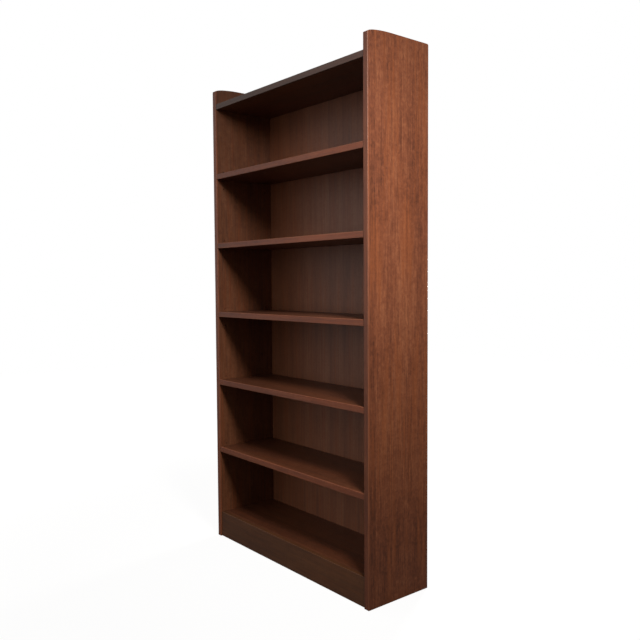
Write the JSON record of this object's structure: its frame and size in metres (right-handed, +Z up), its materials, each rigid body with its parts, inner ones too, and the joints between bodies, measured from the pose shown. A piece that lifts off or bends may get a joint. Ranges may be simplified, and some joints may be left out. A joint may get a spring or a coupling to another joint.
{
  "type": "bookcase with adjustable shelves",
  "caption": "Tall open wooden bookcase: two side panels rising past a fixed top board, loose shelves on pins, plinth, thin back panel.",
  "frame": {"origin": "on the floor, at the middle of the width and of the depth", "axes": "+X to the right seen from the front, +Y from the open front to the back, +Z up"},
  "size_m": [1, 0.3, 2],
  "materials": {
    "teak_veneer": "satin oiled teak veneer on board",
    "solid_teak": "satin oiled solid teak lipping",
    "back_veneer": "satin veneered plywood",
    "pine": "sawn pine",
    "beech": "turned beech",
    "brass": "turned brass",
    "zinc_steel": "zinc plated"
  },
  "bodies": {
    "case": {"left_side_panel": "teak_veneer", "left_side_lipping": "solid_teak", "right_side_panel": "teak_veneer", "right_side_lipping": "solid_teak", "top_board": "teak_veneer", "top_board_lipping": "solid_teak", "bottom_board": "teak_veneer", "plinth": "teak_veneer", "back_panel": "back_veneer", "glue_block_left": "pine", "glue_block_right": "pine", "top_dowel_front_left": "beech", "top_dowel_front_right": "beech", "top_dowel_rear_left": "beech", "top_dowel_rear_right": "beech", "bottom_dowel_front_left": "beech", "bottom_dowel_front_right": "beech", "bottom_dowel_rear_left": "beech", "bottom_dowel_rear_right": "beech", "back_screw_top_1": "zinc_steel", "back_screw_top_2": "zinc_steel", "back_screw_top_3": "zinc_steel", "back_screw_bottom_1": "zinc_steel", "back_screw_bottom_2": "zinc_steel", "back_screw_bottom_3": "zinc_steel", "back_screw_left_1": "zinc_steel", "back_screw_left_2": "zinc_steel", "back_screw_right_1": "zinc_steel", "back_screw_right_2": "zinc_steel", "shelf_1_pin_front_left": "brass", "shelf_1_pin_front_right": "brass", "shelf_1_pin_rear_left": "brass", "shelf_1_pin_rear_right": "brass", "shelf_2_pin_front_left": "brass", "shelf_2_pin_front_right": "brass", "shelf_2_pin_rear_left": "brass", "shelf_2_pin_rear_right": "brass", "shelf_3_pin_front_left": "brass", "shelf_3_pin_front_right": "brass", "shelf_3_pin_rear_left": "brass", "shelf_3_pin_rear_right": "brass", "shelf_4_pin_front_left": "brass", "shelf_4_pin_front_right": "brass", "shelf_4_pin_rear_left": "brass", "shelf_4_pin_rear_right": "brass", "shelf_5_pin_front_left": "brass", "shelf_5_pin_front_right": "brass", "shelf_5_pin_rear_left": "brass", "shelf_5_pin_rear_right": "brass"},
    "loose_shelf_1": {"shelf_1": "teak_veneer", "shelf_1_lipping": "solid_teak"},
    "loose_shelf_2": {"shelf_2": "teak_veneer", "shelf_2_lipping": "solid_teak"},
    "loose_shelf_3": {"shelf_3": "teak_veneer", "shelf_3_lipping": "solid_teak"},
    "loose_shelf_4": {"shelf_4": "teak_veneer", "shelf_4_lipping": "solid_teak"},
    "loose_shelf_5": {"shelf_5": "teak_veneer", "shelf_5_lipping": "solid_teak"}
  },
  "joints": [
    {"name": "shelf_1_draw", "type": "slide", "parent": "case", "child": "loose_shelf_1", "axis": [0, -1, 0], "range_m": [0, 0.3]},
    {"name": "shelf_2_draw", "type": "slide", "parent": "case", "child": "loose_shelf_2", "axis": [0, -1, 0], "range_m": [0, 0.3]},
    {"name": "shelf_3_draw", "type": "slide", "parent": "case", "child": "loose_shelf_3", "axis": [0, -1, 0], "range_m": [0, 0.3]},
    {"name": "shelf_4_draw", "type": "slide", "parent": "case", "child": "loose_shelf_4", "axis": [0, -1, 0], "range_m": [0, 0.3]},
    {"name": "shelf_5_draw", "type": "slide", "parent": "case", "child": "loose_shelf_5", "axis": [0, -1, 0], "range_m": [0, 0.3]}
  ]
}
